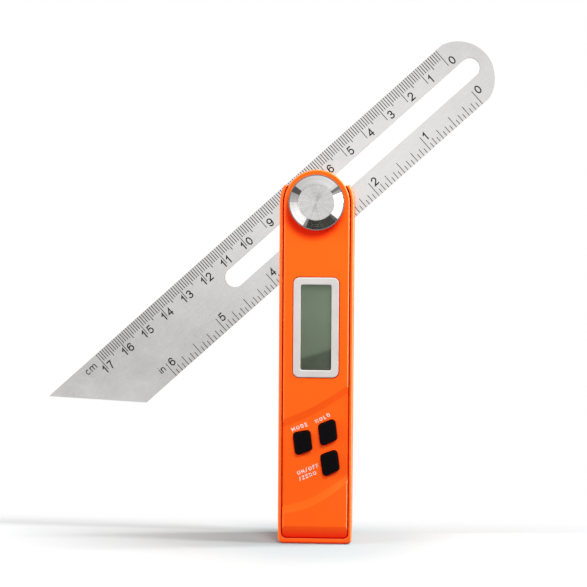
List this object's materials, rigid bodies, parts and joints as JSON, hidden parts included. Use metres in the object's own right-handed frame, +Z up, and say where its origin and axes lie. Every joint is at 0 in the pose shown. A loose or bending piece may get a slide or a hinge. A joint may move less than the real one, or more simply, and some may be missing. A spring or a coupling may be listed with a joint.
{
  "type": "digital t-bevel",
  "caption": "Digital sliding T-bevel: slotted steel blade with scales, clamped by a knurled knob in the forked head of a plastic handle with a display and rubber keys.",
  "frame": {"origin": "middle of the flat foot of the handle, on which the tool stands", "axes": "+Z up the handle, the display and the knob face -Y, +X to the right of the display"},
  "size_m": [0.166, 0.0292, 0.1852],
  "materials": {
    "shell_orange": "satin moulded ABS",
    "bezel_grey": "light warm grey, satin",
    "lens_clear": "clear acrylic window",
    "lcd_green": "grey-green reflective display",
    "zebra_grey": "layered silicone",
    "board_green": "solder mask on glass fibre",
    "chip_black": "moulded epoxy",
    "key_rubber": "matte black silicone rubber",
    "blade_steel": "brushed stainless, black etched scales",
    "knob_steel": "turned and bright plated",
    "hardware_steel": "zinc plated",
    "cell_steel": "nickel plated can"
  },
  "bodies": {
    "handle": {"handle_body": "shell_orange", "front_panel": "shell_orange", "rear_leg": "shell_orange", "display_bezel": "bezel_grey", "display_lens": "lens_clear", "lcd_cell": "lcd_green", "zebra_strip_left": "zebra_grey", "zebra_strip_right": "zebra_grey", "circuit_board": "board_green", "controller_chip": "chip_black", "timing_crystal": "hardware_steel", "keypad_membrane": "key_rubber", "dome_mode": "hardware_steel", "dome_hold": "hardware_steel", "dome_power": "hardware_steel", "battery_cell": "cell_steel", "battery_contact_negative": "hardware_steel", "battery_contact_positive": "hardware_steel", "pivot_bolt": "hardware_steel", "rear_washer": "hardware_steel", "wave_washer": "hardware_steel", "panel_screw_1": "hardware_steel", "panel_screw_2": "hardware_steel", "panel_screw_3": "hardware_steel", "panel_screw_4": "hardware_steel", "board_screw_1": "hardware_steel", "board_screw_2": "hardware_steel", "leg_screw_1": "hardware_steel", "leg_screw_2": "hardware_steel"},
    "clamp_washer": {"thrust_washer": "hardware_steel"},
    "knob": {"clamp_knob": "knob_steel"},
    "carrier": {"blade_carrier": "hardware_steel", "encoder_rotor": "board_green"},
    "blade_arm": {"blade": "blade_steel"},
    "mode_button": {"key_mode": "key_rubber"},
    "hold_button": {"key_hold": "key_rubber"},
    "power_button": {"key_power": "key_rubber"},
    "door": {"battery_door": "shell_orange", "door_screw": "hardware_steel"}
  },
  "joints": [
    {"name": "blade_swing", "type": "hinge", "parent": "handle", "child": "carrier", "pos_m": [0, 0.00265, 0.1254], "axis": [0, -1, 0], "range_deg": [-298.2, 34.2]},
    {"name": "blade_slide", "type": "slide", "parent": "carrier", "child": "blade_arm", "axis": [-0.7431, 0, -0.6691], "range_m": [-0.0304, 0.0713]},
    {"name": "knob_turn", "type": "hinge", "parent": "clamp_washer", "child": "knob", "pos_m": [0, -0.0153, 0.1254], "axis": [0, -1, 0], "range_deg": [0, 360]},
    {"name": "clamp_lift", "type": "slide", "parent": "handle", "child": "clamp_washer", "axis": [0, -1, 0], "range_m": [0, 0.0008]},
    {"name": "mode_press", "type": "slide", "parent": "handle", "child": "mode_button", "axis": [0, 1, 0], "range_m": [0, 0.0005], "stiffness_N_per_m": 1200},
    {"name": "hold_press", "type": "slide", "parent": "handle", "child": "hold_button", "axis": [0, 1, 0], "range_m": [0, 0.0005], "stiffness_N_per_m": 1200},
    {"name": "power_press", "type": "slide", "parent": "handle", "child": "power_button", "axis": [0, 1, 0], "range_m": [0, 0.0005], "stiffness_N_per_m": 1200},
    {"name": "door_lift", "type": "slide", "parent": "handle", "child": "door", "axis": [0, 1, 0], "range_m": [0, 0.014]}
  ],
  "couplings": [
    {"joint": "knob_turn", "follows": "clamp_lift", "rad_per_m": 7854}
  ]
}
